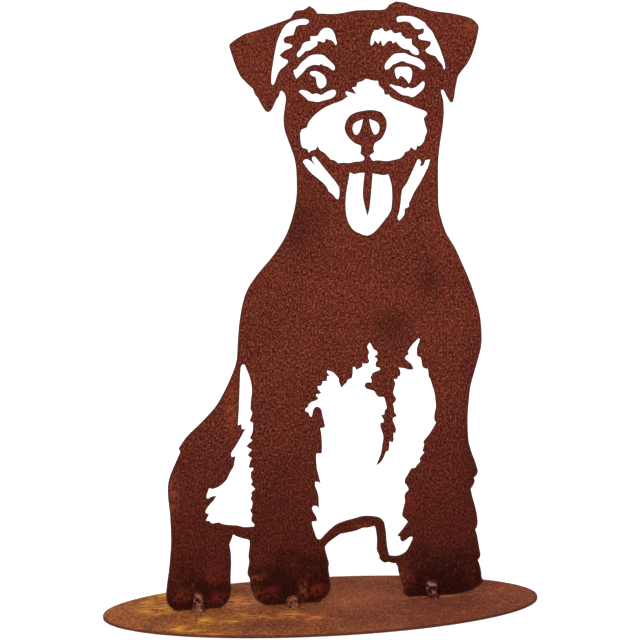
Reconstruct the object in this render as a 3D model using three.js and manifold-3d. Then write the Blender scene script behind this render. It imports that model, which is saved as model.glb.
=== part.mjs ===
// A sitting terrier cut from rusted steel sheet, standing on an oval steel base plate.
// Millimetres. X runs to the right across the front, Y to the back and Z up, from the middle of the
// base plate's underside. The dog is one flat sheet; its face and the gaps in its fur are cut through it.
import * as THREE from "three";
import { mergeVertices } from "three/addons/utils/BufferGeometryUtils.js";
import Module from "manifold-3d";

const BASE_WIDTH = 320;
const BASE_DEPTH = 148;
const BASE_THICKNESS = 2;
const OVAL_SEGMENTS = 60; // ExtrudeGeometry draws two sides for each one of an oval's

const SHEET_THICKNESS = 2;
const SHEET_FRONT_Y = 5; // the sheet stands a little behind the middle of the base plate
const MOST_TURN = THREE.MathUtils.degToRad(18); // of a smooth edge in one straight step
const SHORTEST_STEP = 0.8;
const LONGEST_STEP = 5;
const NUDGE = 1e-4; // along a curve, to see which way it heads
const NOSE_MIDDLE = 32; // x of the upright line that the nostrils lie on either side of

const WELD_SIDES = 20;
const WELD_RINGS = 12;
const WELD_ROOM = 60; // side of a block in front of the sheet that every weld fits in

const RUST = { color: 0x672c1f, roughness: 0.85, metalness: 0.1 };
const BASE_RUST = { color: 0x85492e, roughness: 0.85, metalness: 0.1 };
const WELD_RUST = { color: 0x7a4636, roughness: 0.6, metalness: 0.3 };

// ---- Drawing ----
// The dog is drawn as [x, z] points: x from the middle of the base plate, z up from its top.
// A stroke is a list of points with one smooth curve through them. Two strokes meet in a corner.

/** Straight cuts from point to point, as the short teeth of clipped fur are. */
const straight = (...points) => points.map((point) => [point]);

/** How many straight steps draw the curve between the places from and to on it. */
function stepsBetween(curve, from, to) {
  const [start, next, last, end] = [from, from + NUDGE, to - NUDGE, to].map((t) => curve.getPoint(t));
  const length = start.distanceTo(end);
  const turn = next.sub(start).angleTo(end.clone().sub(last));
  const wanted = Math.max(Math.ceil(turn / MOST_TURN), Math.round(length / LONGEST_STEP), 1);
  return Math.min(wanted, Math.max(1, Math.floor(length / SHORTEST_STEP)));
}

/** The closed outline that the strokes make, in short straight steps. */
function outlineOf(strokes) {
  const outline = [new THREE.Vector2(...strokes.at(-1).at(-1))];
  for (const stroke of strokes) {
    const knots = [outline.at(-1), ...stroke.map(([x, z]) => new THREE.Vector2(x, z))];
    const curve = new THREE.SplineCurve(knots);
    for (let i = 0; i < stroke.length; i++) {
      const ends = [i / stroke.length, (i + 1) / stroke.length];
      const steps = stroke.length === 1 ? 1 : stepsBetween(curve, ...ends);
      for (let k = 1; k <= steps; k++) outline.push(curve.getPoint((i + k / steps) / stroke.length));
    }
  }
  return outline.slice(1);
}

/** The same strokes on the other side of the upright line at x = middle. */
const mirrored = (strokes, middle) =>
  strokes.map((stroke) => stroke.map(([x, z]) => [2 * middle - x, z]));

// ---- The dog's outside edge, clockwise from the back of the hind paw ----

/** Paw, shin and haunch, with the one tuft on the haunch. */
const hindLegBack = () => [
  [[-109.5, 1.6], [-112.6, 4.8], [-114, 10.5], [-113.2, 20], [-111.6, 31], [-110.6, 42],
    [-110, 52], [-110.6, 70], [-112, 86], [-110.9, 96.5], [-106.4, 107.7], [-102.8, 115.4]],
  ...straight([-103.9, 118.4]),
  [[-102.1, 121], [-97.6, 127.1], [-89.1, 135], [-80.8, 143.3], [-75.1, 150.5], [-69.8, 160.1]],
];

/** The back, the left shoulder and the left side of the neck, up to the root of the left ear. */
const leftSide = () => [
  [[-65.2, 170], [-61.9, 180], [-60.9, 193], [-59.7, 207], [-57.2, 221], [-53.4, 231.4], [-46, 242],
    [-35, 254.8], [-26.3, 268], [-21.2, 281.5], [-18.5, 294], [-18, 305], [-19, 320], [-22.7, 332],
    [-26.6, 343], [-27.3, 353], [-25.8, 363.5], [-26.4, 368.2], [-28.6, 370.6], [-30.1, 370]],
];

/** The left ear, which hangs forward to a blunt tip, and the tuft above it. */
const leftEar = () => [
  [[-30.9, 366.9], [-32.8, 364.3], [-34.8, 359.9], [-36.6, 356.9], [-38.9, 355.9], [-40.9, 357.3],
    [-43.7, 361.9], [-45.3, 365.3], [-47.6, 368.2], [-49.2, 372.2], [-53, 375.6], [-57.5, 380.3],
    [-61, 387.3], [-63.6, 394.5], [-65.7, 401.5], [-64.6, 404], [-60.5, 407], [-55, 410.2],
    [-45.5, 413], [-35, 416.6], [-25, 420], [-22, 421.4], [-20.2, 424.4], [-18, 426.3],
    [-13.5, 426.7], [-11, 427.8], [-9, 429.4]],
  [[-5.7, 427.4], [-3, 424.1]],
];

/** The top of the head, between the tufts at the roots of the ears. */
const crown = () => [
  [[0, 424.2], [6, 423.9], [14, 424.4], [24, 426.2], [36, 426.6], [45.3, 426.9], [48.4, 430.1],
    [53.3, 432.5]],
];

/** The right ear, which stands further out and ends in a narrow tip. */
const rightEar = () => [
  [[60, 431.6], [66, 429.4], [72, 428.1], [80, 425.8], [92, 424.4], [104, 421.9], [109.8, 419.5],
    [113.4, 415.6], [113.6, 412.3], [111.8, 403.5], [108.8, 394.5], [105, 387.6], [100.8, 382.4],
    [98.7, 379], [97.2, 372], [96.1, 364.5], [95.1, 361.2]],
  [[93.6, 361.3], [91, 365.5], [89, 369.4], [87.3, 370.4], [86.5, 368.6], [88.2, 362.5],
    [88.7, 354]],
];

/** The right side of the neck, the right shoulder and the foreleg with its feathering. */
const rightSide = () => [
  [[88, 345], [86, 331.5], [84.8, 318], [85, 300], [85.4, 287], [87.5, 278], [91.2, 267.8],
    [97.6, 257.4], [103.4, 245.2], [108.6, 233.8], [113, 221.6], [116.6, 209.3], [118.3, 196],
    [118.2, 185], [116, 175.5], [113.2, 165.5], [110.6, 156], [109.5, 147], [108.6, 134],
    [108.8, 122.5], [109.7, 113.5], [111.7, 106.6], [114.6, 99.2], [116.7, 92.6], [115.6, 89],
    [113.8, 87.2]],
  [[114.4, 85], [113.3, 81.6], [111.5, 78.9]],
  [[112.6, 73.5], [114.6, 66.8], [116.3, 59.5], [116.9, 53.5], [116.3, 50.3], [115.2, 48]],
  [[116.4, 44.7], [117.4, 39.8], [118.4, 34], [119.3, 30], [118.8, 26.9], [117.4, 25.2]],
  [[118.6, 22], [119.7, 17.9], [120.4, 12.6], [121.5, 9.5], [120.7, 7.6], [117.8, 5],
    [112.3, 2.3], [105.8, 0.9], [97, 0]],
];

/** The right forepaw's flat sole and its inner side, up to the tail. */
const rightPaw = () => [
  ...straight([69, 0]),
  [[64.8, 0.5], [61.7, 2.8], [60.9, 5], [61.1, 7.6], [60, 11], [58.6, 15.3], [57.4, 19.6],
    [56.9, 22.8], [55.1, 26.1]],
];

/** The underside of the tail, which curls round from behind the right leg to the left forepaw. */
const tailUnderside = () => [
  [[52.8, 26.2], [50, 27.3], [47, 26.9], [44.6, 28.2], [43.1, 30]],
  [[42.9, 32.5], [41.2, 36.4], [41.2, 44.8], [40.6, 50], [39.9, 53.6], [38.9, 54.7]],
  [[34, 53.8], [30.4, 53.8], [25.6, 52.1], [19, 50.9], [13.6, 50.2], [10, 47.9], [5.5, 44.8],
    [3.3, 42.6], [2.2, 40.4], [3.6, 34.5], [5.2, 29]],
];

/** The left forepaw: its right side, flat sole and left side, up to the strip that joins the legs. */
const leftPaw = () => [
  [[4.8, 25.4], [5.5, 19.5], [6.4, 12.7], [5.6, 7.6], [3, 4], [-1.4, 1], [-6, 0]],
  ...straight([-38, 0]),
  [[-43, 1], [-47.2, 3.6], [-49.8, 6.6], [-50.6, 9.5], [-52.6, 13.3], [-52.8, 18], [-53.2, 20.6]],
  [[-54.5, 23], [-54.5, 26.5], [-53.4, 33], [-53.9, 37], [-53.1, 44], [-53, 48], [-54.4, 49.5]],
];

/** The underside of that strip, and the hind paw's front side and flat sole. */
const hindPaw = () => [
  [[-59.2, 50.9], [-63, 52.5], [-65.3, 53.8]],
  [[-66, 51.3], [-67.9, 46.8], [-67, 41], [-66.7, 32], [-67.2, 22], [-66.9, 14], [-67.6, 8.6],
    [-69.6, 4.5], [-72.2, 2], [-78, 0]],
  ...straight([-105.5, 0]),
];

// ---- The two gaps between the legs ----

/** The gap between hind leg and foreleg: the hind leg's side, with its hooked tufts. */
const hindGapLeft = () => [
  [[-58.9, 175.5], [-59.4, 170], [-59.8, 161], [-60.2, 151], [-60.8, 140], [-61.3, 133]],
  ...straight([-58.8, 134.2], [-58.4, 130.3], [-56, 130.4]),
  [[-58.3, 126.3], [-62.6, 118.9], [-65.6, 114.5], [-66.4, 112], [-65.4, 110.3]],
  ...straight([-63.2, 110.9]),
  [[-63.7, 107.8], [-64.6, 103.6], [-67.1, 99.4], [-69.1, 95.1], [-72.1, 91.6], [-76, 89.1],
    [-79.9, 87.9], [-82.3, 88.7]],
  [[-83.8, 84.7], [-84.3, 82.2], [-83.3, 80.7]],
  [[-80.4, 82.1], [-77.3, 82.6]],
  [[-79.1, 79.5], [-82, 76.6], [-84.8, 72.8], [-85, 70.5]],
  ...straight([-82.7, 69.4], [-85, 64.7]),
];

/** The top of the strip that joins hind paw and forepaw. */
const hindGapFloor = () => [
  [[-82.3, 64.4], [-80.4, 62.5], [-77, 62.9], [-74.6, 62.8], [-72.8, 61.7], [-67.4, 60.7],
    [-61.6, 60], [-56.5, 58.6], [-49.7, 58.7]],
  ...straight([-49.6, 60.6]),
];

/** The clipped fur down the left side of the foreleg, from the strip up, and the gap's round top. */
const hindGapRight = () => [
  ...straight([-51.6, 62.4], [-51.7, 64.6], [-50.9, 67.6], [-52.6, 70.6], [-51.3, 72.9], [-50.7, 76.4],
    [-52.2, 79.3], [-51.2, 81.5], [-51.8, 83.6], [-48.8, 86.3], [-51.9, 89.6], [-50.7, 92],
    [-51.8, 94.2], [-51.9, 98.4], [-50, 100.6], [-50.3, 102], [-53.5, 102.2], [-52.2, 107],
    [-51, 108.8], [-53.9, 110.8], [-53.5, 112.3], [-50.9, 115], [-54.9, 117.5], [-53.8, 119.2],
    [-50.7, 121.8], [-52.4, 123.7], [-50.6, 128], [-50.1, 134.6], [-52.5, 136], [-50.6, 141.8],
    [-52, 144.8]),
  [[-51.7, 150], [-50.9, 157.1], [-51.3, 163.1], [-53, 169.5], [-55.2, 174.8], [-56, 177],
    [-57.6, 177.3]],
];

/** The gap below the chest, down its left side from the slit: the chest's fringe. */
const chestFringe = () => [
  [[33.5, 188], [33.4, 186], [34.7, 183]],
  [[33.9, 180.6], [33.9, 178.8], [34.8, 177], [34.2, 175.4], [32.6, 174.6], [29.8, 175]],
  [[29.6, 172.6], [28.4, 171.9], [25.3, 170.5]],
  [[24.6, 172.3], [23.7, 172.8], [22.6, 172.3], [22.6, 168.5], [22.2, 165.4], [20.9, 164.1],
    [19, 163.5], [18, 161.3], [16.4, 160], [14.4, 157.9]],
  [[13.3, 160.3], [12.6, 162.7], [12.4, 164.7], [9.9, 167.5], [7.5, 169.6], [3.8, 170.8]],
  [[3.8, 169.1], [5.8, 167]],
  ...straight([3.9, 166.7], [3.6, 163.2], [0.5, 163]),
  [[0.1, 160.8], [-1, 159.8], [-3.2, 159.6]],
  [[-2.9, 157.4], [-0.6, 154.9]],
  ...straight([-1.3, 154.1], [-4.4, 153.7]),
  [[-4, 152.2], [-2.5, 150.7]],
  [[-4, 149.5], [-6.9, 148.5], [-9.4, 147], [-10.4, 144.5]],
  [[-12, 143.6], [-12.1, 141.6], [-9.9, 140.8]],
];

/** The inner side of the left foreleg, with three overhanging tufts. */
const leftLegInside = () => [
  [[-9.2, 139], [-8, 137.1], [-6.9, 138.6], [-6.4, 141.5], [-5.2, 143.8], [-2.9, 144.5],
    [-0.6, 142.8], [0.2, 139.7], [1.1, 135.4], [2.2, 130.8], [1.6, 129.1]],
  ...straight([-1.2, 129]),
  [[-0.4, 124.2], [0, 118], [0, 112.5], [-0.4, 110.4]],
  ...straight([-4.1, 110.4]),
  [[-4.2, 106], [-3.7, 100], [-2.7, 95.2], [-0.9, 88.2]],
  [[-3, 89.6], [-5, 89.7]],
  [[-5, 86.8], [-3.5, 82.8], [-2.5, 78.5], [-2.2, 69.6]],
  [[-3.5, 71.4], [-6.3, 71.9], [-7.2, 70.2], [-6.2, 67.2], [-4.3, 64.2], [-3.6, 61.4]],
  ...straight([-4, 60.5], [-7.4, 60.4]),
  [[-6.9, 57], [-5.5, 52.6], [-4.3, 49], [-2.9, 47], [-1.5, 46.5], [0.4, 47.9]],
];

/** The top of the tail, and the notch between the tail and the right leg. */
const tailTop = () => [
  [[2.5, 50.2], [7, 54.4], [11.5, 57.5], [17.8, 59.6], [25, 61.2], [30.4, 62.4], [36, 62.3],
    [41.2, 61.3], [44.4, 59.7], [46.4, 56.8], [47.5, 51], [48.2, 43], [48.8, 38.2], [50, 33],
    [51.6, 31.8], [56.8, 31.4], [60.6, 32.7], [64, 35.5], [66.8, 40.8], [68.1, 44], [67.3, 45.3],
    [65.2, 45], [62.5, 43], [60.2, 42], [58.9, 43], [58.5, 45.7]],
  ...straight([56.4, 46.6]),
];

/** The inner side of the right leg, from the tail up to the slit beside the chest. */
const rightLegInside = () => [
  [[58, 48.3], [60.4, 51.1], [62.6, 54], [64.3, 56.4]],
  [[62.2, 58.7], [60.4, 60.4], [60.1, 62.5], [61, 67.2], [62.1, 71.5], [61.7, 75.3], [62.4, 77.8],
    [64.8, 80.3]],
  [[63.8, 82.8], [61.7, 85.7]],
  [[62, 88.3], [63.6, 90.9], [65.2, 93.8], [66.8, 96.1], [69.4, 96.3]],
  [[71.2, 98.6], [73.5, 101]],
  [[72.9, 103], [73.6, 104.4], [76.4, 107.3]],
  ...straight([74.9, 108.6], [76.3, 113.4]),
  [[75.6, 115], [76.6, 117.1], [79.3, 120.1], [82.3, 124.5], [85, 129.2]],
  [[83.6, 131.7], [83.8, 136], [84.8, 141], [84.4, 146], [83.4, 152.3], [81.6, 157.8],
    [80.6, 161.1], [79.2, 163.4], [78.9, 167], [78.5, 169.3]],
  [[75.6, 169.8], [74.2, 172], [73.6, 176], [72.9, 178]],
  [[70.9, 178.6], [70.2, 181], [70.5, 185], [71.8, 188.8], [72.4, 191], [71.6, 192], [69.5, 190.3],
    [66.7, 187.5], [64.8, 185], [63.4, 182.6]],
];

/** The long tuft that hangs from the middle of the chest: its right side, down to the tip. */
const chestTuftRight = () => [
  ...straight([64.1, 180.6]),
  [[61.7, 179], [61.5, 177.3], [63.6, 175.4], [66.3, 173], [67.7, 169.3]],
  [[64, 169.2], [60.8, 170.3], [56.4, 171]],
  [[57.6, 169], [58, 166.4], [57.4, 164.9]],
  ...straight([56.1, 164.4], [55.5, 162.7], [53, 162.6]),
  [[54.2, 159.4], [53.3, 156], [52.6, 153.1], [53.4, 150.6], [54.9, 148.4]],
  [[54.2, 146.2], [52.5, 144.6]],
  [[53.3, 141.4], [53.6, 138.3], [55.3, 136]],
  [[54.7, 135], [52.6, 134.2], [52.6, 131.8], [54, 128.6], [54.9, 125.6], [54.4, 122.8]],
  ...straight([53.2, 123.3]),
  [[52.9, 120.5], [53.2, 118.2], [52, 115.7]],
  ...straight([50.9, 117], [50, 117]),
  [[49.9, 113.5], [49.4, 110.2]],
  [[47.3, 109.3], [45.6, 105], [43.4, 101.8], [40.6, 99.8]],
];

/** The left side of that tuft, from the tip back up to the slit. */
const chestTuftLeft = () => [
  [[42, 103.2], [43.7, 107.5], [44.6, 112], [45, 115.5], [45.7, 119.3], [45.2, 122.7],
    [44.3, 125.2], [43.4, 128], [43.5, 130.9]],
  ...straight([45.5, 130.8]),
  [[45.9, 132.4], [45, 134.5], [43.2, 137.5]],
  [[45, 136.4], [46.3, 136.9], [46.6, 139.8], [48.2, 141.4]],
  [[47.4, 145], [46.4, 148.8], [45, 149.9], [42, 150], [40.3, 151.6], [39, 154], [36.5, 155.2],
    [33, 156.3], [31.6, 158.4], [32.2, 160], [34.2, 161], [36.7, 160.5]],
  ...straight([36.8, 162.4], [35.9, 164.4]),
  [[36.8, 165.6], [37.4, 167.4], [39.7, 168.5], [42.3, 169.3], [43.2, 170.4], [42.3, 171.5],
    [40.3, 171.7]],
  [[39.6, 173.5], [39.8, 174.8], [41.1, 177], [40.4, 178.3], [38.7, 179.3], [39.2, 179.9],
    [40.9, 180.9], [41, 182.5], [39.7, 183.9], [38, 184.9], [37, 187], [36, 188.9], [35, 190]],
];

// ---- The face ----

/** The fold inside the left ear, with two locks of hair across it. */
const leftEarFold = () => [
  [[-36.3, 376.2], [-36, 383], [-34.9, 390], [-33.5, 398], [-31.6, 405.8], [-28.8, 412],
    [-25.5, 416.6], [-20.5, 419.3], [-14.5, 420.5], [-9.8, 419.8], [-9.2, 418.3], [-11.3, 416.5],
    [-15.6, 416.4], [-18.6, 414.6], [-20.3, 409.4]],
  [[-23.5, 408.8], [-26.2, 407.9], [-27.3, 405.6], [-26, 403.6], [-22.6, 403.1], [-21, 401.9],
    [-22, 400.5], [-26.5, 398.6], [-30.2, 395.3]],
  [[-28, 393.4], [-24.6, 392], [-24.2, 390.4], [-26.5, 387.8], [-29.8, 385.1], [-32, 381],
    [-33.5, 376.6], [-34.9, 374.6]],
];

/** The fold inside the right ear. */
const rightEarFold = () => [
  [[89.7, 386], [89, 390], [86.8, 396.4], [84.8, 401.5], [82.5, 406.2], [79.8, 411.3],
    [76.6, 414.5], [74.6, 417.4], [70, 420.1], [65, 421.9], [59, 422.3], [54.7, 421.8],
    [53.7, 420.2], [54.8, 418], [59.5, 418.5], [63.6, 417.6], [67, 413.7], [70.6, 413], [73.3, 413.7]],
  [[73.7, 411.4], [72.6, 409.7], [69.6, 408.6], [70.4, 406.1], [73.8, 405.3], [77.6, 404.6],
    [78.9, 403.2], [77.4, 400.6], [75, 398.9], [75.5, 396.9], [78.6, 395.2], [82.3, 394.1],
    [84.3, 391.2], [87.2, 388], [88.3, 385], [89.2, 384.3]],
];

/** The tufted brow over the left eye. */
const leftBrow = () => [
  [[-18, 395.4], [-17.2, 397.5], [-15.3, 399.5], [-14.1, 402.4], [-12, 404.4], [-8.2, 405.2]],
  ...straight([-8.3, 408.4]),
  [[-4.6, 408.4], [-2.7, 409.3], [-1.4, 411.5], [0.8, 413.5], [3.8, 414.2], [7, 413.1],
    [9, 410.3], [10.2, 406.5], [10.9, 403.6], [10.1, 401.7]],
  [[8.8, 403.7], [7.2, 405.4], [2.8, 406.7]],
  [[2.4, 404.8], [1.2, 403.9], [-1, 404.9], [-3, 405]],
  [[-3.2, 402.4], [-5.3, 400.8], [-8.5, 398.8], [-11.6, 398.3], [-13.9, 395.8], [-16.8, 393.6]],
];

/** The tufted brow over the right eye, with its teeth of hair. */
const rightBrow = () => [
  ...straight([35.5, 401.3], [37.2, 403], [38.2, 405.4], [39.4, 403.9], [40.6, 402.8], [42.6, 405.4]),
  [[43.3, 401.9], [44.5, 401.4], [46, 403], [48.1, 404.8], [50.1, 404.9], [51.2, 403.1],
    [53.5, 404.5]],
  [[54.8, 402.6], [57, 400.6], [60, 399.1], [62.7, 398.7], [64.8, 396.4], [67.5, 395.1],
    [70, 395.1], [70.4, 396.6], [69, 399.3], [66.3, 401.4], [65, 403.3], [65.1, 406.2]],
  ...straight([60.6, 406.3]),
  [[59, 407.9], [57.7, 408.6], [57.4, 410.4], [56.2, 410.8], [52.8, 410], [51, 411.3],
    [49.5, 412.7], [46.2, 411.3], [44.8, 411.9], [43.9, 413.6], [42, 413.5], [40.3, 412.4],
    [37.9, 412.5], [36.4, 410.3], [35.2, 406.8], [34.8, 403]],
];

/** The slot over the left eye. */
const leftUpperLid = () => [
  [[-19.3, 380.8], [-20.6, 384.6]],
  [[-18.2, 385.8], [-15, 389.8], [-12, 392.3], [-9.6, 394.3], [-5.5, 395.6], [0.8, 395.2],
    [4.3, 392.5], [7.4, 389.7], [9.5, 386.8], [8.9, 384.7], [7.4, 384.7], [4.6, 386.9],
    [0.8, 388.2], [-0.5, 389.2], [-1.8, 388.2], [-5, 388.7], [-9, 387.5], [-11.4, 385.8],
    [-14, 382.7], [-18.3, 378.8]],
];

/** The slot over the right eye. */
const rightUpperLid = () => [
  [[45.2, 386.2], [46, 389.4], [48.3, 392.3], [51.6, 395.4], [55, 396.1], [60, 396.1],
    [64, 394.4], [69.5, 392.5], [73.2, 390], [75.1, 386.9], [74.2, 384.6], [72, 385.1],
    [69, 387], [65, 388.5], [61.5, 389.5], [58.3, 390.8], [54.5, 389.4], [51.3, 388],
    [49, 385.6], [46.3, 384.5]],
];

/** The light in the left pupil. */
const leftPupil = () => [
  [[-8.1, 383.8], [-4.5, 384.1], [-1, 382.9], [2, 380.5], [3.4, 376.8], [2.4, 373.6],
    [-0.7, 372], [-3.2, 373.6], [-4, 377.4], [-4.6, 380], [-6.8, 380.7], [-8.6, 382]],
];

/** The light in the right pupil. */
const rightPupil = () => [
  [[53.4, 386], [57, 386.6], [62.4, 386.6], [64.9, 384.7], [65.5, 381], [64.5, 376.9],
    [63, 374.8], [61.4, 377.1], [59, 379.4], [56.8, 380.3], [55.7, 378.5], [54.5, 377.9],
    [53.2, 380.6], [52.5, 384]],
];

/** The slot under the left eye. */
const leftLowerLid = () => [
  [[-15, 371.1], [-9.9, 370], [-7, 367.9], [-4, 368.6], [-0.6, 367.3], [2.6, 369.2], [6, 370.6],
    [9.4, 370.9], [10.3, 369], [9.2, 366.5], [5.8, 364.6], [0.5, 363.3], [-2.8, 362.6],
    [-9.2, 363.6], [-12, 365.9], [-16.6, 369.8]],
];

/** The slot under the right eye. */
const rightLowerLid = () => [
  [[49.6, 374.6], [53.3, 373.3], [57.2, 372.6], [59.8, 371.2], [62.2, 372.3], [64.8, 371.3],
    [68.5, 372.5], [71.4, 374.9], [73.6, 376.4], [74.8, 374.6], [73.6, 370.9], [70.5, 368],
    [67, 365.5], [64.8, 365.3], [62.3, 366.2], [58, 367], [54.5, 369.3], [48.8, 373.7]],
];

/** The muzzle is one opening wrapped round the nose. This is its left side, down from the nose's top. */
const muzzleLeft = () => [
  [[39.5, 356], [35.5, 356.5], [31, 356.1], [26, 355.2], [21, 353.1], [18.2, 349.7], [16.6, 345],
    [17.2, 341], [20.5, 336], [24.5, 332.8], [28.3, 331.2], [28.4, 328], [28.2, 325.4],
    [30.7, 323.4], [30.8, 321.2]],
  [[28.2, 320.2], [24, 320], [20, 319.2], [15.5, 319.5], [11.8, 319.1], [9.3, 321.3], [6.2, 322],
    [4.2, 324.3], [1.4, 327], [-1.3, 328.4], [-3.2, 331.6]],
  [[-4.5, 329.1], [-7.8, 328.3], [-9.4, 326.7], [-10.6, 329.6], [-14, 330.6], [-15.3, 334.5],
    [-15.7, 339.5], [-14.6, 343.3], [-10.8, 344.8], [-9.3, 348.8], [-5.5, 353.2], [2, 358.6],
    [8, 361.1], [14, 363.2], [18.7, 366.3]],
];

/** The top of the muzzle: the tufts of hair between the eyes. */
const muzzleTop = () => [
  [[17, 368.2], [17.3, 369.8], [20.8, 368.9], [25, 367.7]],
  [[23.3, 370], [21.7, 372.5], [24.7, 372.9], [25.6, 375.8], [29, 376.7], [32, 378.5],
    [37, 377.1], [40.8, 376.7], [41.2, 373.6], [44.6, 370.7], [45.5, 367.1]],
];

/** The muzzle's right side, down to the philtrum and round the nose. */
const muzzleRight = () => [
  [[48.6, 367.2], [50.4, 365.1], [55, 362.8], [62, 360.4], [68, 357.8], [75.3, 355.1],
    [76.5, 352.8], [74.2, 350.3]],
  [[75, 346.5], [76.7, 341.2], [75.4, 337.3], [74.6, 333.9], [71.3, 330.4], [69.5, 331]],
  [[69.1, 328.9], [68, 327.6], [64.8, 329.8]],
  [[63.6, 327.3], [60.6, 326.3], [59.6, 324.2], [56.6, 321.8], [51, 320.6], [47, 320.1],
    [41, 320.8], [37.3, 320.4], [35.4, 322.6], [34.6, 324.4], [36.8, 325.8], [38, 327.2]],
  [[37.3, 329.4], [38.6, 333.3], [42.6, 335.7], [45.4, 340], [46.9, 345], [46.2, 350.3],
    [43.4, 354.6]],
];

/** The left nostril. */
const leftNostril = () => [
  [[24.4, 348], [29.9, 350.2]],
  [[28.8, 345], [27.2, 340.7], [25.2, 339], [23, 340.4], [22, 343.8], [22.6, 346.2]],
];

/** The tongue hangs out of the mouth, with a spike of shadow down its middle. */
const tongue = () => [
  [[19.2, 307], [17.9, 300], [17.2, 293], [17.3, 285.5], [18.9, 278], [22.6, 271.9], [27.6, 269],
    [33.1, 267.2], [38.6, 269.8], [44.4, 276.2], [48.4, 281.2], [50.8, 286.2], [51.4, 293],
    [50.9, 302.6], [49.3, 308.3], [48.2, 310.9]],
  [[45, 310.1], [36.8, 311.5]],
  [[36.4, 306], [35.9, 300], [35.2, 292], [34.4, 286], [33.2, 281.6]],
  [[31.8, 286.5], [30, 295], [30.2, 303], [31.2, 312]],
  [[27.8, 312.1], [23.4, 311.2], [20.1, 312.8]],
];

/** The fold of the left cheek, which runs down beside the tongue. */
const leftCheek = () => [
  [[-12.3, 322.3], [-9, 321.7], [-4.5, 318]],
  [[-6.8, 321.2], [-7, 323.7], [-4.6, 323.7], [0.4, 317.6], [5, 312], [9.8, 306.1], [12.4, 302.3],
    [12.9, 298], [12.2, 293.8], [10.4, 294.1], [7.8, 297.2], [5, 299.3], [2.8, 303.4],
    [-2, 308], [-7.6, 312.6], [-11.2, 316.8], [-13.8, 320.6]],
];

/** The fold of the right cheek, with its tufts. */
const rightCheek = () => [
  [[71, 321.1], [72.5, 318.8], [71.5, 316]],
  [[74.2, 317], [75.3, 320.2], [79.2, 320.7]],
  [[77.6, 315.4], [75.3, 310.8], [71.4, 303.6], [67.8, 298], [65.2, 292.5], [63.6, 289.6]],
  [[63.6, 287.1], [60.6, 285.7], [60.6, 282.4], [59, 279.8], [56.6, 277.5], [55.1, 279.8],
    [56.5, 284.5], [57.5, 291.6], [58.5, 299.8], [61.6, 303.9], [65, 310.8], [69.3, 320.3]],
];

// ---- Making the pieces ----

/** Everything that is cut through the sheet. */
const openings = () => [
  [...hindGapLeft(), ...hindGapFloor(), ...hindGapRight()],
  [...chestFringe(), ...leftLegInside(), ...tailTop(), ...rightLegInside(), ...chestTuftRight(),
    ...chestTuftLeft()],
  [...muzzleLeft(), ...muzzleTop(), ...muzzleRight()],
  leftEarFold(),
  rightEarFold(),
  leftBrow(),
  rightBrow(),
  leftUpperLid(),
  rightUpperLid(),
  leftPupil(),
  rightPupil(),
  leftLowerLid(),
  rightLowerLid(),
  leftNostril(),
  mirrored(leftNostril(), NOSE_MIDDLE),
  tongue(),
  leftCheek(),
  rightCheek(),
];

/** The whole outside edge. */
const outside = () => [
  ...hindLegBack(), ...leftSide(), ...leftEar(), ...crown(), ...rightEar(), ...rightSide(),
  ...rightPaw(), ...tailUnderside(), ...leftPaw(), ...hindPaw(),
];

/**
 * The dog, cut from one flat sheet that stands on the base plate. Its outside edge is drawn clockwise
 * and turned round here, because ExtrudeGeometry sets the openings right only inside an anticlockwise one.
 */
function dogSilhouette() {
  const drawing = new THREE.Shape(outlineOf(outside()).reverse());
  drawing.holes = openings().map((strokes) => new THREE.Path(outlineOf(strokes)));
  const sheet = new THREE.ExtrudeGeometry(drawing, { depth: SHEET_THICKNESS, bevelEnabled: false });
  const dog = new THREE.Mesh(sheet, new THREE.MeshStandardMaterial(RUST));
  dog.name = "dog_silhouette";
  dog.rotation.x = Math.PI / 2;
  dog.position.set(0, SHEET_FRONT_Y + SHEET_THICKNESS, BASE_THICKNESS);
  return dog;
}

/** The oval plate that the dog stands on. */
function basePlate() {
  const oval = new THREE.Shape().absellipse(0, 0, BASE_WIDTH / 2, BASE_DEPTH / 2, 0, 2 * Math.PI);
  const plate = new THREE.ExtrudeGeometry(oval, {
    depth: BASE_THICKNESS,
    bevelEnabled: false,
    curveSegments: OVAL_SEGMENTS,
  });
  const base = new THREE.Mesh(plate, new THREE.MeshStandardMaterial(BASE_RUST));
  base.name = "base_plate";
  return base;
}

const wasm = await Module();
wasm.setup();

/** A closed geometry as a solid that can be joined and cut. */
function solid(geometry) {
  const bare = geometry.clone().deleteAttribute("normal").deleteAttribute("uv");
  const merged = mergeVertices(bare);
  const vertProperties = merged.attributes.position.array;
  const triVerts = new Uint32Array(merged.index.array);
  return new wasm.Manifold(new wasm.Mesh({ numProp: 3, vertProperties, triVerts }));
}

/** One rounded lobe of weld metal on the sheet's front, its middle z above the base plate. */
function weldLobe({ x, z, width, height, reach }) {
  const ball = new THREE.SphereGeometry(1, WELD_SIDES, WELD_RINGS).rotateX(Math.PI / 2);
  ball.scale(width / 2, reach, height / 2).translate(x, SHEET_FRONT_Y, BASE_THICKNESS + z);
  return solid(ball);
}

/** A weld tack: its lobes in one, flat where it lies on the sheet and on the base plate. */
function weldTack(name, lobes) {
  const corner = new THREE.BoxGeometry(BASE_WIDTH, WELD_ROOM, WELD_ROOM)
    .translate(0, SHEET_FRONT_Y - WELD_ROOM / 2, BASE_THICKNESS + WELD_ROOM / 2);
  const joined = lobes.map(weldLobe).reduce((all, lobe) => all.add(lobe));
  const cut = joined.intersect(solid(corner)).getMesh();
  const geometry = new THREE.BufferGeometry()
    .setAttribute("position", new THREE.BufferAttribute(cut.vertProperties, 3))
    .setIndex(new THREE.BufferAttribute(cut.triVerts, 1));
  geometry.computeVertexNormals();
  const tack = new THREE.Mesh(geometry, new THREE.MeshStandardMaterial(WELD_RUST));
  tack.name = name;
  return tack;
}

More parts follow.
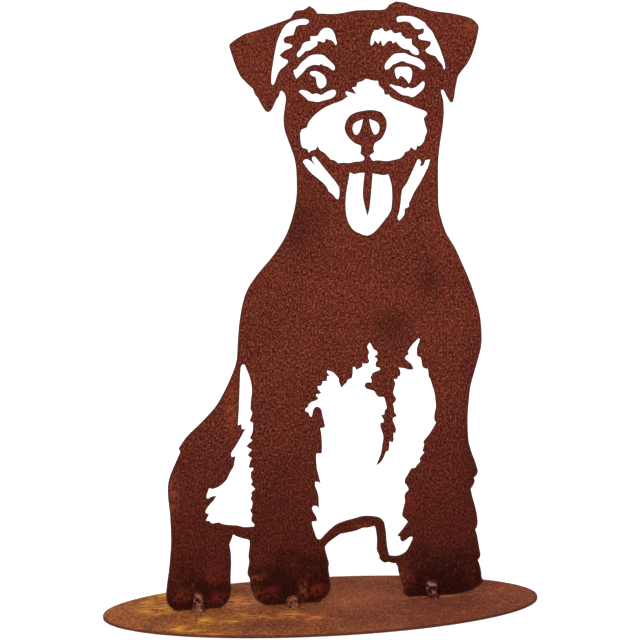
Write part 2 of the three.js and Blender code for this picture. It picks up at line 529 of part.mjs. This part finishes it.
const sculpture = new THREE.Group();
sculpture.add(
  dogSilhouette(),
  basePlate(),
  weldTack("hind_paw_weld", [
    { x: -91, z: 0, width: 9.5, height: 13, reach: 11 },
    { x: -91, z: 6, width: 7.5, height: 15, reach: 5.5 },
  ]),
  weldTack("left_forepaw_weld", [
    { x: -22.5, z: 0, width: 10, height: 12, reach: 12 },
    { x: -21.5, z: 2, width: 8, height: 9, reach: 5 },
  ]),
  weldTack("right_forepaw_weld", [
    { x: 82, z: 7, width: 10, height: 11, reach: 6 },
    { x: 83, z: 0, width: 8, height: 10, reach: 11 },
  ]),
);

export default sculpture;
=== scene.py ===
"""A rusted steel dog silhouette welded to its oval base plate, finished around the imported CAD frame."""
import math

import bpy
import numpy as np
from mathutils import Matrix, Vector, geometry, kdtree, noise


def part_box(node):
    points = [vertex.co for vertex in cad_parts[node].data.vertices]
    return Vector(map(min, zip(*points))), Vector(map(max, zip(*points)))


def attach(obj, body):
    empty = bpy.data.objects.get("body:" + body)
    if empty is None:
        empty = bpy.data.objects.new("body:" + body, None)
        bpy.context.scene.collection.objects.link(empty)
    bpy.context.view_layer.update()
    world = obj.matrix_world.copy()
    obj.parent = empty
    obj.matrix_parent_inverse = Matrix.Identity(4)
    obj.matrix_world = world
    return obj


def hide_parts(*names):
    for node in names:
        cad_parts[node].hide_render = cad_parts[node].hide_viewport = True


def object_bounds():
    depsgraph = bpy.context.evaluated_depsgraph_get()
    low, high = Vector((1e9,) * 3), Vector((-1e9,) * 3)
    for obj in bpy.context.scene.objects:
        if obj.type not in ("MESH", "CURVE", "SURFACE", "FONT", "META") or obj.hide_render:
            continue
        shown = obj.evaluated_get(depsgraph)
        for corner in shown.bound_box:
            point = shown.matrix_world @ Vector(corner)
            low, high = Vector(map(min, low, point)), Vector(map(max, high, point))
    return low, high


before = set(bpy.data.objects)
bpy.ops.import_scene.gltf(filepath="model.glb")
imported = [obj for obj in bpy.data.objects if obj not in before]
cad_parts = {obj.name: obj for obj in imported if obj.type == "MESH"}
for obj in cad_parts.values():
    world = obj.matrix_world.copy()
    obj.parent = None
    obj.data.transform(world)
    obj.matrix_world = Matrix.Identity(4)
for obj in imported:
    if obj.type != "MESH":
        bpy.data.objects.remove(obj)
cad_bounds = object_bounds()

MM = 0.001
middle = (cad_bounds[0] + cad_bounds[1]) / 2

# ---- Outlines: arrays of points in mm, with the metal on their left ----

CORNER_TURN = math.radians(24)  # a sharper turn than this is a corner of the cut, and stays one
CUT_STEP = 0.9  # mm between points along a cut
OVAL_SIDES = 360


def face_loops(node):
    """The closed edges of the node's front face, as (x, z)."""
    mesh = node.data
    place = [(round(v.co.x / MM, 3), round(v.co.z / MM, 3)) for v in mesh.vertices]
    sides = set()
    for face in mesh.polygons:
        if face.normal.y < -0.99:
            ring = [place[i] for i in face.vertices]
            sides |= set(zip(ring, ring[1:] + ring[:1]))
    onward = {a: b for a, b in sorted(sides) if (b, a) not in sides}
    loops = []
    while onward:
        loop = [min(onward)]
        while loop[-1] in onward:
            loop.append(onward.pop(loop[-1]))
        loops.append(np.array(loop[:-1]))
    return loops


def smoothed(loop):
    """The same outline in short even steps, with its gentle turns rounded and its corners kept."""
    into = loop - np.roll(loop, 1, axis=0)
    out = following(loop) - loop
    turn = np.arctan2(into[:, 0] * out[:, 1] - into[:, 1] * out[:, 0], (into * out).sum(axis=1))
    corner = np.abs(turn) > CORNER_TURN
    points = []
    for i in range(len(loop)):
        j = (i + 1) % len(loop)
        a, b = loop[i], loop[j]
        before = 2 * a - b if corner[i] else loop[i - 1]
        beyond = 2 * b - a if corner[j] else loop[(j + 1) % len(loop)]
        steps = max(1, round(np.linalg.norm(b - a) / CUT_STEP))
        for t in np.arange(steps) / steps:
            # A Catmull-Rom curve from a to b.
            bend = 2 * before - 5 * a + 4 * b - beyond
            sway = 3 * a - before - 3 * b + beyond
            points.append(a + 0.5 * ((b - before) * t + bend * t**2 + sway * t**3))
    return np.array(points)


def oval(half_width, half_depth):
    angle = np.arange(OVAL_SIDES) * 2 * math.pi / OVAL_SIDES
    return np.stack([half_width * np.cos(angle), half_depth * np.sin(angle)], axis=1)


def following(loop):
    """For each point, the next one round the loop."""
    return np.roll(loop, -1, axis=0)


def set_in(loop, distance):
    """The outline moved into the metal by a distance."""
    out = following(loop) - loop
    side = np.stack([-out[:, 1], out[:, 0]], axis=1) / np.linalg.norm(out, axis=1, keepdims=True)
    both = side + np.roll(side, 1, axis=0)
    return loop + distance * both / np.maximum((both * both).sum(axis=1, keepdims=True) / 2, 0.5)


def to_edge(loops, points):
    """How far each point is from the nearest outline, in mm."""
    parts = (0, 0.2, 0.4, 0.6, 0.8)
    dense = np.concatenate([loop + (following(loop) - loop) * part for loop in loops for part in parts])
    tree = kdtree.KDTree(len(dense))
    for i, (u, v) in enumerate(dense):
        tree.insert((u, v, 0), i)
    tree.balance()
    return np.array([tree.find((u, v, 0))[2] for u, v in points])


def grid_inside(loops, spacing):
    """Points of a staggered grid over the metal."""
    starts = np.concatenate(loops)
    ends = np.concatenate([following(loop) for loop in loops])
    points = []
    levels = np.arange(starts[:, 1].min(), starts[:, 1].max(), spacing * math.sqrt(3) / 2)
    for row, level in enumerate(levels):
        hit = (starts[:, 1] > level) != (ends[:, 1] > level)
        a, b = starts[hit], ends[hit]
        across = np.sort(a[:, 0] + (level - a[:, 1]) * (b[:, 0] - a[:, 0]) / (b[:, 1] - a[:, 1]))
        shift = 0.5 * (row % 2)
        for left, right in (across / spacing - shift).reshape(-1, 2):
            places = range(math.ceil(left), math.ceil(right))
            points += [((place + shift) * spacing, level) for place in places]
    return np.array(points)


def on_metal(loops, points):
    """Whether each point lies on the metal, and not in an opening."""
    starts = np.concatenate(loops)
    ends = np.concatenate([following(loop) for loop in loops])
    rise = np.where(ends[:, 1] == starts[:, 1], 1, ends[:, 1] - starts[:, 1])
    slant = (ends[:, 0] - starts[:, 0]) / rise
    found = []
    for group in np.array_split(points, len(points) // 1000 + 1):
        u, v = group[:, :1], group[:, 1:]
        level = (starts[:, 1] > v) != (ends[:, 1] > v)
        left = starts[:, 0] + (v - starts[:, 1]) * slant < u
        found.append((level & left).sum(axis=1) % 2 == 1)
    return np.concatenate(found)


# ---- Plates: both faces finely meshed, with a worn cut edge ----

ROUNDING = 0.28  # mm, radius of the worn edge along a cut
PIT_FADE = 1.5  # mm from a cut within which the pits grow shallow
BROAD_PITS = 30  # mm across
SMALL_PITS = 7
SMALL_SEED = 9
FRONT_SEED = 0
BACK_SEED = 50
SHARP = math.radians(50)


def face_mesh(loops, spacing):
    """Points over the metal, the outlines' own first, the outlines' sides, and the triangles between."""
    layers = [np.concatenate(loops)]
    for distance in (0.3 * ROUNDING, ROUNDING):
        ring = np.concatenate([set_in(loop, distance) for loop in loops])
        layers.append(ring[to_edge(loops, ring) > 0.9 * distance])
    grid = grid_inside(loops, spacing)
    layers.append(grid[to_edge(loops, grid) > ROUNDING + 0.4 * spacing])
    points = np.concatenate(layers)
    starts = np.cumsum([0] + [len(loop) for loop in loops])
    sides = [(a + i, a + (i + 1) % (b - a)) for a, b in zip(starts, starts[1:]) for i in range(b - a)]
    corners = [Vector(point) for point in points.tolist()]
    _, _, triangles, origins, _, _ = geometry.delaunay_2d_cdt(corners, sides, [], 1, 1e-7, True)
    triangles = np.array([[origins[i][0] for i in triangle] for triangle in triangles])
    return points, sides, triangles[on_metal(loops, points[triangles].mean(axis=1))]


def pitting(u, v, seed):
    """How far rust has eaten into a face at one place, from 0 to 1."""
    broad = noise.fractal(Vector((u / BROAD_PITS, v / BROAD_PITS, seed)), 1.0, 2.0, 2)
    small = noise.fractal(Vector((u / SMALL_PITS, v / SMALL_PITS, seed + SMALL_SEED)), 0.9, 2.1, 3)
    return min(1, max(0, 0.45 + 0.35 * broad + 0.3 * small))


def share(points, spots):
    """How much of a colour each point has. A spot is its middle, half its width and half its height."""
    shares = [np.exp(-(((points - (u, v)) / (ru, rv)) ** 2).sum(axis=1)) for u, v, ru, rv in spots]
    return np.max(shares, axis=0)


def plate(name, material, loops, thickness, spacing, pit_depth, place, patches):
    """A plate of the outlines' shape. place turns (u, v, depth behind the front face) into x, y, z."""
    points, sides, triangles = face_mesh(loops, spacing)
    edge = to_edge(loops, points)
    worn = np.clip(1 - edge / ROUNDING, 0, 1)
    sunk = ROUNDING * (1 - np.sqrt(1 - worn**2))
    fade = np.clip(edge / PIT_FADE, 0, 1)
    front = sunk + pit_depth * fade * [pitting(u, v, FRONT_SEED) for u, v in points]
    back = thickness - sunk - pit_depth * fade * [pitting(u, v, BACK_SEED) for u, v in points]
    count = len(points)
    faces = triangles.tolist() + (triangles[:, ::-1] + count).tolist()
    faces += [[b, a, a + count, b + count] for a, b in sides]
    solid = [place(u, v, w) for (u, v), w in zip(points, front)]
    solid += [place(u, v, w) for (u, v), w in zip(points, back)]
    piece = mesh_piece(name, solid, faces, material)
    painted = {"edge": edge}
    painted.update((label, share(points, spots)) for label, spots in patches.items())
    for label, values in painted.items():
        attribute = piece.data.attributes.new(label, "FLOAT", "POINT")
        attribute.data.foreach_set("value", np.tile(values, 2))
    return piece


def mesh_piece(name, points, faces, material):
    """A smooth-shaded object from points in mm, sharp where its faces meet at more than SHARP."""
    mesh = bpy.data.meshes.new(name)
    mesh.from_pydata((np.array(points) * MM).tolist(), [], faces)
    mesh.polygons.foreach_set("use_smooth", [True] * len(mesh.polygons))
    mesh.set_sharp_from_angle(angle=SHARP)
    mesh.materials.append(material)
    piece = bpy.data.objects.new(name, mesh)
    bpy.context.collection.objects.link(piece)
    return piece


def stand_for(piece, node):
    """The piece rides with the CAD frame and is shown in the node's place."""
    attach(piece, "root")
    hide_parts(node)


# ---- Materials ----

RED_BROWN = (0.098, 0.0160, 0.0080)  # the sheet's rust, and shades of it
DULL_RED = (0.080, 0.0125, 0.0075)
WARM_RED = (0.112, 0.0220, 0.0092)
DARK_CLUMP = (0.055, 0.0080, 0.0045)
PALE_CLUMP = (0.125, 0.0240, 0.0130)
# painted shade: the sheet's rust darkened towards its bottom, where less light reaches the legs near the
# base
LOW_PAINTED_SHADE = (0.038, 0.0060, 0.0034)
DARK_GRAIN = (0.020, 0.0018, 0.0010)
PALE_GRAIN = (0.220, 0.0620, 0.0370)
# painted shade: the pale grains dimmed in the same way low down
PALE_GRAIN_IN_PAINTED_SHADE = (0.120, 0.0260, 0.0170)
HEATED_BLACK = (0.013, 0.0016, 0.0009)
DARK_PATCH = (0.018, 0.0034, 0.0024)
PAW_FLECK = (0.150, 0.0400, 0.0300)
RED_PATCH = (0.150, 0.0160, 0.0130)
ORANGE_PATCH = (0.200, 0.0400, 0.0150)
CUT_EDGE = (0.056, 0.0150, 0.0115)

# painted light: the base plate's rust is paler than the sheet's partly for the stronger light its flat top
# gets from above
BASE_ORANGE = (0.235, 0.0700, 0.0190)  # the base plate's rust, from its left end to its right
BASE_BROWN = (0.190, 0.0500, 0.0180)
BASE_RED = (0.135, 0.0300, 0.0150)
BASE_PLUM = (0.110, 0.0250, 0.0150)
BASE_WARM = (0.250, 0.0780, 0.0200)
BASE_CRUST = (0.080, 0.0180, 0.0080)
BASE_DARK_GRAIN = (0.040, 0.0070, 0.0030)
BASE_PALE_GRAIN = (0.400, 0.1600, 0.0700)
OCHRE_BLOOM = (0.560, 0.2400, 0.0300)
ORANGE_BLOOM = (0.520, 0.1700, 0.0450)
BASE_RIM = (0.060, 0.0170, 0.0110)

WELD_PINK = (0.180, 0.0460, 0.0240)
WELD_PURPLE = (0.095, 0.0150, 0.0130)
# painted shade: darkens the welds' hollows
WELD_PAINTED_SHADE = (0.040, 0.0060, 0.0036)
# painted highlight: pale specks on the welds' lumps
WELD_PAINTED_HIGHLIGHT = (0.450, 0.2000, 0.1450)

RUST_ROUGHNESS = 0.95
GLINT = 0.4  # how much smoother the pale grains are
RUST_SPECULAR = 0.03
WELD_ROUGHNESS = 0.45
WELD_SPECULAR = 0.15
FINE_SHARE = 0.4  # of the bump, next to the grain's


class Recipe:
    """A material built node by node. Each call adds a node and gives back its output."""

    def __init__(self, name):
        self.material = bpy.data.materials.new(name)
        self.material.use_nodes = True
        self.tree = self.material.node_tree
        self.surface = self.tree.nodes["Principled BSDF"]
        self.place = self.add("ShaderNodeTexCoord", {}).outputs["Object"]
        where = self.add("ShaderNodeSeparateXYZ", {"Vector": self.place}).outputs
        self.x, self.z = where["X"], where["Z"]
        self.colour = (0, 0, 0)

    def add(self, kind, inputs, **settings):
        node = self.tree.nodes.new(kind)
        for name, value in settings.items():
            setattr(node, name, value)
        for name, value in inputs.items():
            self.plug(node.inputs[name], value)
        return node

    def plug(self, socket, value):
        if isinstance(value, bpy.types.NodeSocket):
            self.tree.links.new(value, socket)
        elif socket.type == "RGBA":
            socket.default_value = (*value, 1)
        else:
            socket.default_value = value

    def noise(self, size, detail=3, roughness=0.55):
        """Cloudy noise with lumps about size mm across."""
        inputs = {"Vector": self.place, "Scale": 1 / (size * MM), "Detail": detail, "Roughness": roughness}
        return self.add("ShaderNodeTexNoise", inputs).outputs["Fac"]

    def drawn_out(self, along_x, along_z):
        """From here on, noise is stretched along x and z."""
        scale = (1 / along_x, 1, 1 / along_z)
        self.place = self.add("ShaderNodeMapping", {"Vector": self.place, "Scale": scale}).outputs["Vector"]

    def painted(self, name):
        """A value that the mesh carries at its points."""
        return self.add("ShaderNodeAttribute", {}, attribute_name=name).outputs["Fac"]

    def rise(self, value, low, high, top=1):
        """0 up to low and top from high, smooth between; the other way round where low is the larger."""
        inputs = {"Value": value, "From Min": low, "From Max": high, "To Max": top}
        return self.add("ShaderNodeMapRange", inputs, interpolation_type="SMOOTHSTEP").outputs["Result"]

    def maths(self, operation, a, b):
        return self.add("ShaderNodeMath", {0: a, 1: b}, operation=operation).outputs[0]

    def times(self, a, b):
        return self.maths("MULTIPLY", a, b)

    def plus(self, a, b):
        return self.maths("ADD", a, b)

    def minus(self, a, b):
        return self.maths("SUBTRACT", a, b)

    def coat(self, colour, amount):
        """Lay a colour over what is there, by an amount from 0 to 1."""
        inputs = {0: amount, 6: self.colour, 7: colour}
        self.colour = self.add("ShaderNodeMix", inputs, data_type="RGBA").outputs[2]

    def finish(self, roughness, bump, depth, specular):
        """Connect what was mixed to the surface. depth is the bump's, in mm."""
        normal = self.add("ShaderNodeBump", {"Height": bump, "Distance": depth * MM, "Strength": 1.0})
        self.plug(self.surface.inputs["Base Color"], self.colour)
        self.plug(self.surface.inputs["Roughness"], roughness)
        self.plug(self.surface.inputs["Normal"], normal.outputs["Normal"])
        self.surface.inputs["Specular IOR Level"].default_value = specular
        return self.material


def sheet_rust():
    """Even red-brown rust in dark and pale grains, with painted shade darkening it towards the bottom, dark
    along the cuts and nearly black at the welds.
    """
    r = Recipe("sheet_rust")
    broad, patches, clumps = r.noise(45, 2), r.noise(13, 3), r.noise(4.5, 2)
    worn = r.rise(r.noise(3, 5, 0.75), 0.42, 0.56)
    r.drawn_out(1, 1.4)
    grain, fine = r.noise(1.25, 3, 0.75), r.noise(0.8, 2)
    r.colour = RED_BROWN
    r.coat(DULL_RED, r.rise(broad, 0.40, 0.64))
    r.coat(WARM_RED, r.rise(patches, 0.50, 0.70, 0.5))
    r.coat(DARK_CLUMP, r.rise(clumps, 0.48, 0.34, 0.45))
    r.coat(PALE_CLUMP, r.rise(clumps, 0.54, 0.70, 0.4))
    # painted shade, deepening from 240 mm down to the feet
    r.coat(LOW_PAINTED_SHADE, r.rise(r.z, 0.24, 0.03, 0.65))
    r.coat(DARK_GRAIN, r.rise(grain, 0.52, 0.38, 0.9))
    pale = r.times(r.rise(grain, 0.51, 0.63), r.rise(fine, 0.36, 0.58))
    # painted shade on the pale grains below 160 mm
    shaded_low_down = r.rise(r.z, 0.16, 0.01)
    r.coat(PALE_GRAIN, r.times(pale, r.minus(1, shaded_low_down)))
    r.coat(PALE_GRAIN_IN_PAINTED_SHADE, r.times(pale, shaded_low_down))
    uneven_height = r.plus(r.z, r.times(r.minus(patches, 0.5), 0.09))
    r.coat(HEATED_BLACK, r.rise(uneven_height, 0.048, 0.010, 0.75))
    r.coat(DARK_PATCH, r.times(r.painted("dark"), 0.5))
    flecks = r.times(r.rise(r.z, 0.04, 0.02), r.rise(r.noise(2.2, 3, 0.7), 0.60, 0.70))
    r.coat(PAW_FLECK, r.times(flecks, 0.6))
    r.coat(RED_PATCH, r.times(r.times(r.painted("red"), worn), 0.75))
    r.coat(ORANGE_PATCH, r.times(r.times(r.painted("orange"), worn), 0.75))
    r.coat(CUT_EDGE, r.rise(r.painted("edge"), 1.6, 0.3, 0.75))
    rough = r.minus(RUST_ROUGHNESS, r.times(pale, GLINT))
    return r.finish(rough, r.plus(grain, r.times(fine, FINE_SHARE)), 0.35, RUST_SPECULAR)


def base_rust():
    """Browner and paler rust than the dog's, the paleness partly painted light for the stronger light on
    its flat top, with ochre bloom at its left end and a dark rim.
    """
    r = Recipe("base_rust")
    broad, patches, clumps = r.noise(50, 2), r.noise(11, 4, 0.6), r.noise(4.5, 3)
    grain, fine = r.noise(1.4, 3, 0.75), r.noise(0.8, 2)
    r.drawn_out(3, 1)
    worn = r.rise(r.noise(3.5, 5, 0.7), 0.45, 0.55)
    along = r.plus(r.x, r.times(r.minus(broad, 0.5), 0.2))
    crusted = r.rise(along, 0.05, -0.05)
    r.colour = BASE_ORANGE
    r.coat(BASE_BROWN, r.rise(along, -0.12, -0.02))
    r.coat(BASE_RED, r.rise(along, 0.0, 0.07))
    r.coat(BASE_PLUM, r.times(r.painted("plum"), 0.8))
    r.coat(BASE_WARM, r.rise(patches, 0.52, 0.68, 0.4))
    r.coat(BASE_CRUST, r.times(r.rise(clumps, 0.50, 0.34, 0.5), crusted))
    dark = r.rise(grain, 0.51, 0.38)
    r.coat(BASE_DARK_GRAIN, r.times(dark, r.plus(0.5, r.times(crusted, 0.35))))
    pale = r.times(r.rise(grain, 0.52, 0.64), r.rise(fine, 0.36, 0.58))
    r.coat(BASE_PALE_GRAIN, r.times(pale, r.plus(0.45, r.times(crusted, 0.3))))
    r.coat(OCHRE_BLOOM, r.times(r.times(r.painted("ochre"), worn), 0.9))
    r.coat(ORANGE_BLOOM, r.times(r.times(r.painted("orange"), worn), 0.9))
    r.coat(BASE_RIM, r.rise(r.painted("edge"), 1.2, 0.2, 0.8))
    rough = r.minus(RUST_ROUGHNESS, r.times(pale, GLINT))
    return r.finish(rough, r.plus(grain, r.times(fine, FINE_SHARE)), 0.5, RUST_SPECULAR)


def weld_rust():
    """Lumpy weld metal: pinkish brown, purplish on the right, with painted shade in its hollows and painted
    highlights on its lumps.
    """
    r = Recipe("weld_rust")
    lump, grain, fine = r.painted("lump"), r.noise(1.3, 3, 0.7), r.noise(0.6, 2)
    r.colour = WELD_PINK
    r.coat(WELD_PURPLE, r.rise(r.x, -0.02, 0.07))
    # painted shade in the hollows between the lumps
    r.coat(WELD_PAINTED_SHADE, r.rise(r.plus(lump, r.times(grain, 0.6)), 0.78, 0.50, 0.75))
    # painted highlights where the lumps stand highest
    painted_highlight = r.rise(r.plus(lump, r.times(grain, 1.4)), 1.25, 1.50)
    r.coat(WELD_PAINTED_HIGHLIGHT, r.times(painted_highlight, r.rise(fine, 0.40, 0.60, 0.7)))
    bump = r.plus(grain, r.times(fine, FINE_SHARE))
    return r.finish(WELD_ROUGHNESS, bump, 0.6, WELD_SPECULAR)


# ---- The pieces ----

SHEET_SPACING = 1.9  # mm between the points of a face
SHEET_PITS = 0.12  # mm, how deep the rust's pits are
BASE_SPACING = 2.2
BASE_PITS = 0.15
WELDS = ("hind_paw_weld", "left_forepaw_weld", "right_forepaw_weld")
WELD_VOXEL = 0.3  # mm
RING_STEP = 3.6  # mm between the rings of a weld
LUMP_SIZE = 2.6  # mm
LUMP_DEPTH = 1.1  # mm from a weld's lumps down to its hollows

SHEET_PATCHES = {  # x and z of the middle, half the width and half the height, in mm
    "orange": [
        (108, 418, 6, 6), (-52, 413, 5, 4), (-110, 86, 4, 14), (-66, 147, 4, 16), (-49, 23, 6, 3),
        (-14, 12, 3, 8), (60, 16, 3, 9), (-48, 6, 4, 7), (30, 58, 6, 2),
    ],
    "red": [
        (-104, 12, 6, 5), (-77, 10, 6, 5), (-80, 26, 6, 6), (-38, 11, 5, 5), (46, 113, 4, 4),
        (66, 14, 4, 5), (-4, 12, 6, 5), (60, 72, 8, 7),
    ],
    "dark": [
        (-16, 279, 20, 20), (78, 236, 8, 16), (50, 205, 14, 12), (-93, 22, 8, 10), (-30, 18, 9, 12),
        (95, 22, 14, 14), (-118, 190, 6, 60), (115, 120, 10, 60),
    ],
}
BASE_PATCHES = {  # x and y of the middle, half the width and half the depth, in mm
    "ochre": [
        (-111, 46, 8, 13), (-120, 18, 14, 20), (-92, -23, 7, 12), (-66, -16, 10, 5), (-75, -32, 11, 5),
        (-112, -40, 8, 9), (-101, -48, 9, 4), (-28, -18, 7, 6),
    ],
    "orange": [
        (-46, -24, 13, 5), (-24, -26, 8, 5), (-90, -58, 12, 3), (-142, -31, 10, 3), (84, 3, 22, 3),
        (-14, -34, 8, 8), (-60, 20, 14, 16),
    ],
    "plum": [
        (-122, -10, 12, 9), (-52, -44, 20, 10), (20, -40, 24, 18), (100, -22, 30, 14), (-130, -28, 10, 5),
    ],
}


def dog_piece(material):
    low, high = (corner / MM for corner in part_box("dog_silhouette"))
    loops = [smoothed(loop) for loop in face_loops(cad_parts["dog_silhouette"])]
    piece = plate(
        "dog_sheet", material, loops, high.y - low.y, SHEET_SPACING, SHEET_PITS,
        lambda x, z, depth: (x, low.y + depth, z), SHEET_PATCHES)
    stand_for(piece, "dog_silhouette")


def base_piece(material):
    low, high = (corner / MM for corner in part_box("base_plate"))
    piece = plate(
        "oval_base", material, [oval(high.x, high.y)], high.z - low.z, BASE_SPACING, BASE_PITS,
        lambda x, y, depth: (x, y, high.z - depth), BASE_PATCHES)
    stand_for(piece, "base_plate")


def fine_copy(node):
    """The node's mesh made again in small even faces."""
    body = bpy.data.objects.new("body", node.data.copy())
    bpy.context.collection.objects.link(body)
    remesh = body.modifiers.new("fine", "REMESH")
    remesh.mode = "VOXEL"
    remesh.voxel_size = WELD_VOXEL * MM
    mesh = bpy.data.meshes.new_from_object(body.evaluated_get(bpy.context.evaluated_depsgraph_get()))
    bpy.data.objects.remove(body)
    return mesh


def weld_piece(node, material, seed):
    """The weld tack's CAD body, with the rings and lumps of cooled metal."""
    mesh = fine_copy(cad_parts[node])
    low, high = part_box(node)
    lumps = []
    for vertex in mesh.vertices:
        at = vertex.co / MM
        cloud = noise.fractal(at / LUMP_SIZE + Vector((seed, 0, 0)), 0.8, 2.0, 3)
        from_root = math.hypot(at.y - high.y / MM, at.z - low.z / MM)
        ring = math.cos(from_root * 2 * math.pi / RING_STEP)
        lump = min(1, max(0, 0.5 + 0.45 * cloud + 0.15 * ring))
        lumps.append(lump)
        moved = vertex.co - vertex.normal * (1 - lump) * LUMP_DEPTH * MM
        vertex.co = [min(max(part, a), b) for part, a, b in zip(moved, low, high)]
    mesh.attributes.new("lump", "FLOAT", "POINT").data.foreach_set("value", lumps)
    mesh.polygons.foreach_set("use_smooth", [True] * len(mesh.polygons))
    mesh.materials.clear()
    mesh.materials.append(material)
    piece = bpy.data.objects.new(node + "_bead", mesh)
    bpy.context.collection.objects.link(piece)
    stand_for(piece, node)


# ---- The room ----

YAW = math.radians(12)  # the camera stands to the left of straight in front
PITCH = math.radians(8.6)  # and looks down
DISTANCE = 1.6
LENS = 126.6
AIM = Vector((-0.0026, 0, -0.0069))  # from the middle of the object's box
FLOOR_HALF = 9
FLOOR_WHITE = (0.95, 0.95, 0.95, 1)
FLOOR_ROUGHNESS = 0.9
SKY_STRENGTH = 1.25
KEY_PLACE = (-1.4, -2.2, 2.4)
KEY_SIZE = 1.6
KEY_POWER = 60


def studio_floor():
    mesh = bpy.data.meshes.new("studio_floor")
    corners = [(x * FLOOR_HALF, y * FLOOR_HALF, 0) for x, y in ((-1, -1), (1, -1), (1, 1), (-1, 1))]
    mesh.from_pydata(corners, [], [(0, 1, 2, 3)])
    material = bpy.data.materials.new("studio_floor")
    material.use_nodes = True
    surface = material.node_tree.nodes["Principled BSDF"]
    surface.inputs["Base Color"].default_value = FLOOR_WHITE
    surface.inputs["Roughness"].default_value = FLOOR_ROUGHNESS
    mesh.materials.append(material)
    floor = bpy.data.objects.new("studio_floor", mesh)
    bpy.context.collection.objects.link(floor)


def key_light():
    """One soft light above the front left, turned to the object's middle."""
    light = bpy.data.lights.new("key", "AREA")
    light.size = KEY_SIZE
    light.energy = KEY_POWER
    lamp = bpy.data.objects.new("key", light)
    lamp.location = KEY_PLACE
    lamp.rotation_euler = (middle - Vector(KEY_PLACE)).to_track_quat("-Z", "Y").to_euler()
    bpy.context.collection.objects.link(lamp)


def white_surroundings():
    world = bpy.data.worlds.new("studio")
    world.use_nodes = True
    background = world.node_tree.nodes["Background"]
    background.inputs["Color"].default_value = (1, 1, 1, 1)
    background.inputs["Strength"].default_value = SKY_STRENGTH
    bpy.context.scene.world = world


def camera_in_front():
    camera = bpy.data.cameras.new("camera")
    camera.lens = LENS
    camera.clip_end = 2 * FLOOR_HALF + 2
    stand = bpy.data.objects.new("camera", camera)
    sight = Vector((math.sin(YAW) * math.cos(PITCH), math.cos(YAW) * math.cos(PITCH), -math.sin(PITCH)))
    stand.location = middle + AIM - DISTANCE * sight
    stand.rotation_euler = sight.to_track_quat("-Z", "Y").to_euler()
    bpy.context.collection.objects.link(stand)
    bpy.context.scene.camera = stand


camera_in_front()
white_surroundings()
studio_floor()
key_light()
bpy.context.scene.view_settings.view_transform = "Standard"

dog_piece(sheet_rust())
base_piece(base_rust())
weld_finish = weld_rust()
for number, weld in enumerate(WELDS):
    weld_piece(weld, weld_finish, 10 * number)
